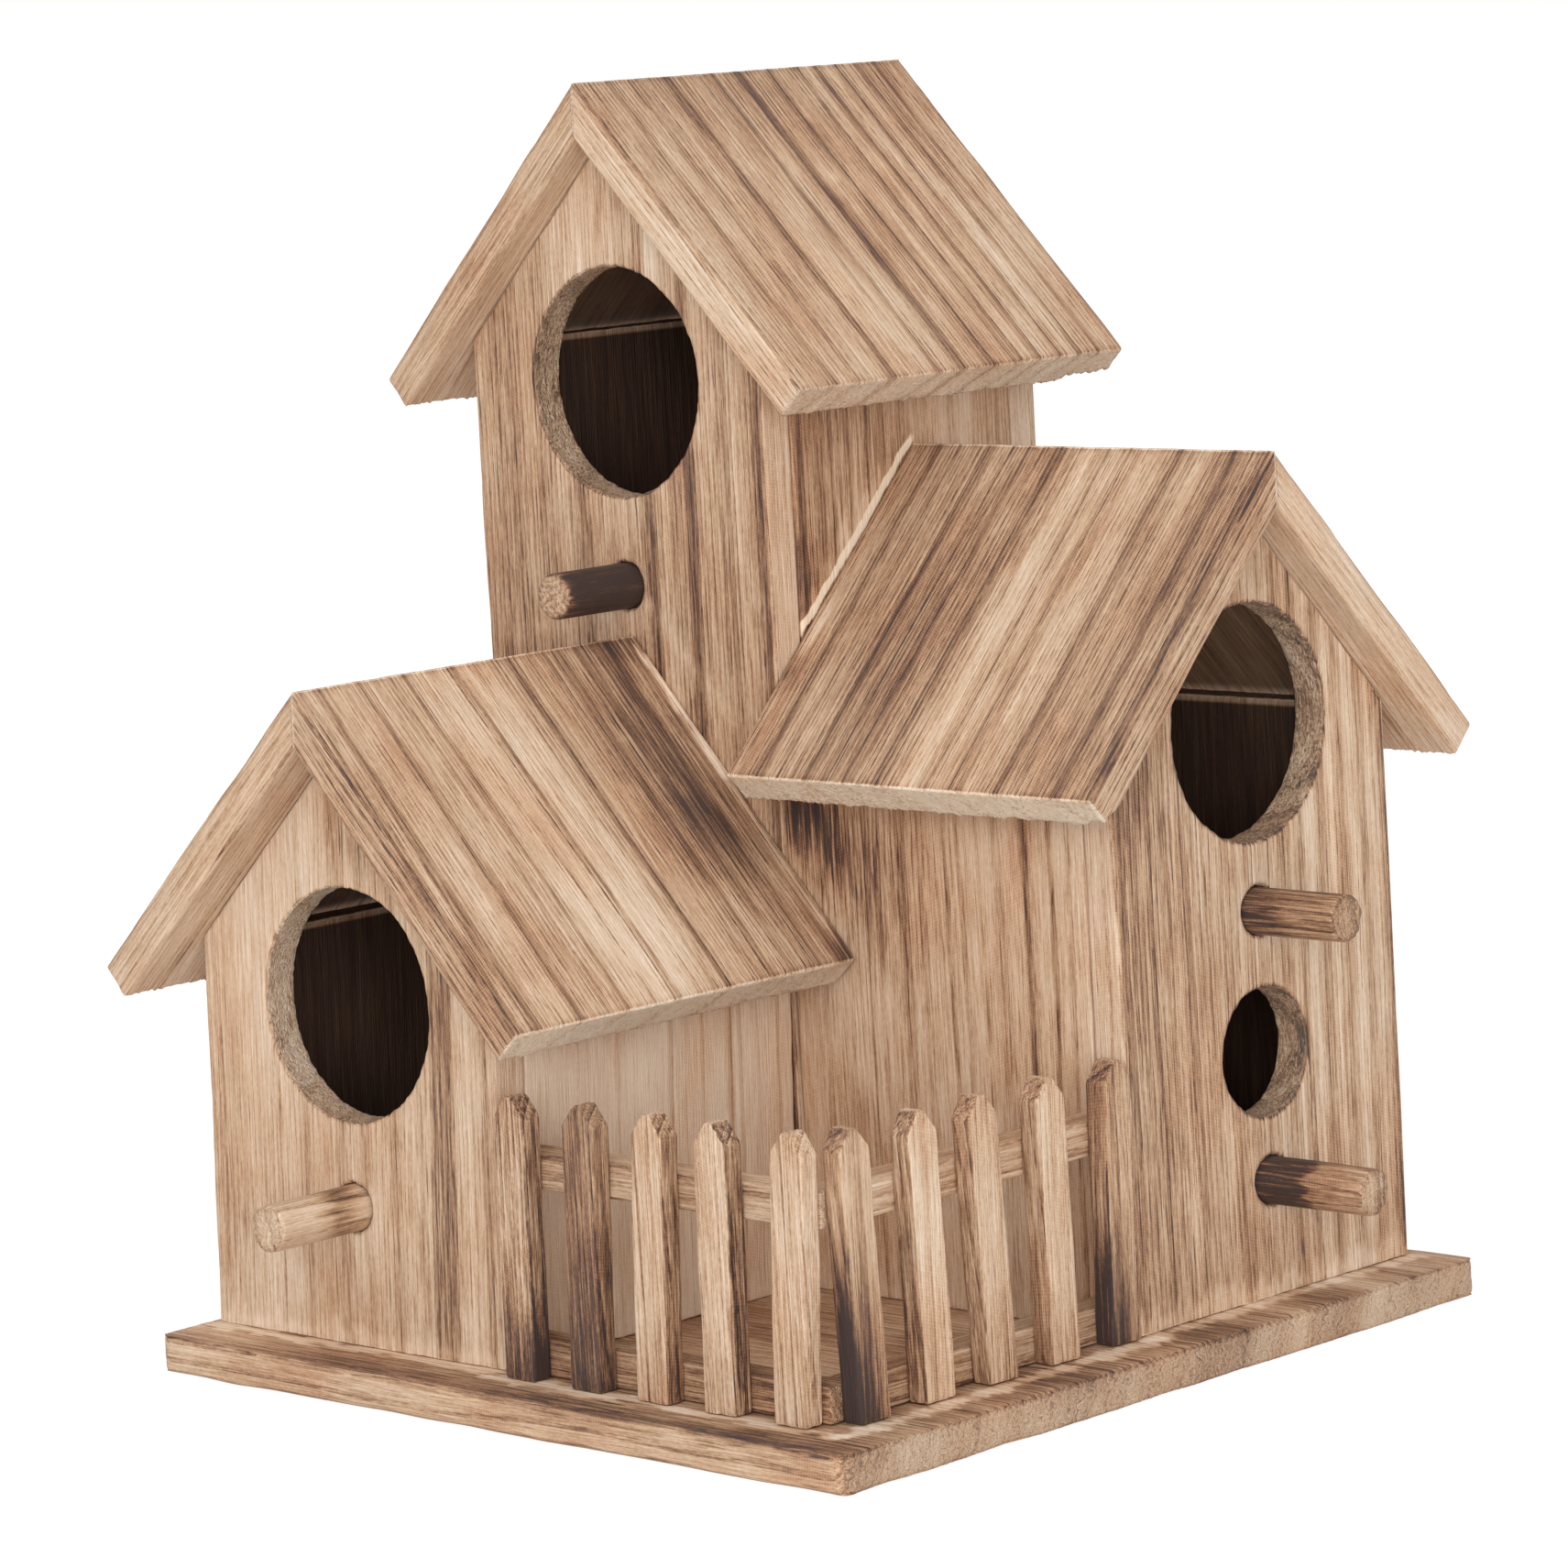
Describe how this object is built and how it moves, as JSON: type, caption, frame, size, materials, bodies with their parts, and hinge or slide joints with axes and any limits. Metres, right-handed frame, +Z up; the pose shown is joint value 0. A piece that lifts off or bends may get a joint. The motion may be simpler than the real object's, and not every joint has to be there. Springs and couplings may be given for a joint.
{
  "type": "nest box",
  "caption": "Cluster of small gabled wooden nest houses on a square base board, with round entrances, dowel perches and a picket fence round a small yard.",
  "frame": {"origin": "centre of the base board's flat underside", "axes": "+Z up, +X to the right along the front edge, so the short house and the tower face -Y and the middle house faces +X"},
  "size_m": [0.2136, 0.2089, 0.2518],
  "materials": {
    "wall_wood": "lightly scorched softwood, matte, with grain streaks from tan to dark brown",
    "roof_wood": "scorched softwood with dark growth rings down the slope, matte",
    "base_wood": "scorched softwood board, darker on top, worn edges, matte",
    "perch_wood": "scorched hardwood dowel with a pale end, matte",
    "fence_wood": "scorched softwood strip and square stick, matte"
  },
  "bodies": {
    "root": {"base_board": "base_wood", "short_house_front": "wall_wood", "short_house_left_wall": "wall_wood", "short_house_right_wall": "wall_wood", "short_house_left_roof": "roof_wood", "short_house_right_roof": "roof_wood", "short_house_perch": "perch_wood", "tower_front": "wall_wood", "tower_back": "wall_wood", "tower_left_wall": "wall_wood", "tower_right_wall": "wall_wood", "tower_left_roof": "roof_wood", "tower_right_roof": "roof_wood", "tower_perch": "perch_wood", "middle_house_front": "wall_wood", "middle_house_left_wall": "wall_wood", "middle_house_right_wall": "wall_wood", "middle_house_left_roof": "roof_wood", "middle_house_right_roof": "roof_wood", "middle_house_lower_perch": "perch_wood", "middle_house_upper_perch": "perch_wood", "fence_front_picket_1": "fence_wood", "fence_front_picket_2": "fence_wood", "fence_front_picket_3": "fence_wood", "fence_front_picket_4": "fence_wood", "fence_front_picket_5": "fence_wood", "fence_side_picket_1": "fence_wood", "fence_side_picket_2": "fence_wood", "fence_side_picket_3": "fence_wood", "fence_side_picket_4": "fence_wood", "fence_side_picket_5": "fence_wood", "fence_front_lower_rail": "fence_wood", "fence_front_upper_rail": "fence_wood", "fence_side_lower_rail": "fence_wood", "fence_side_upper_rail": "fence_wood"}
  },
  "joints": []
}
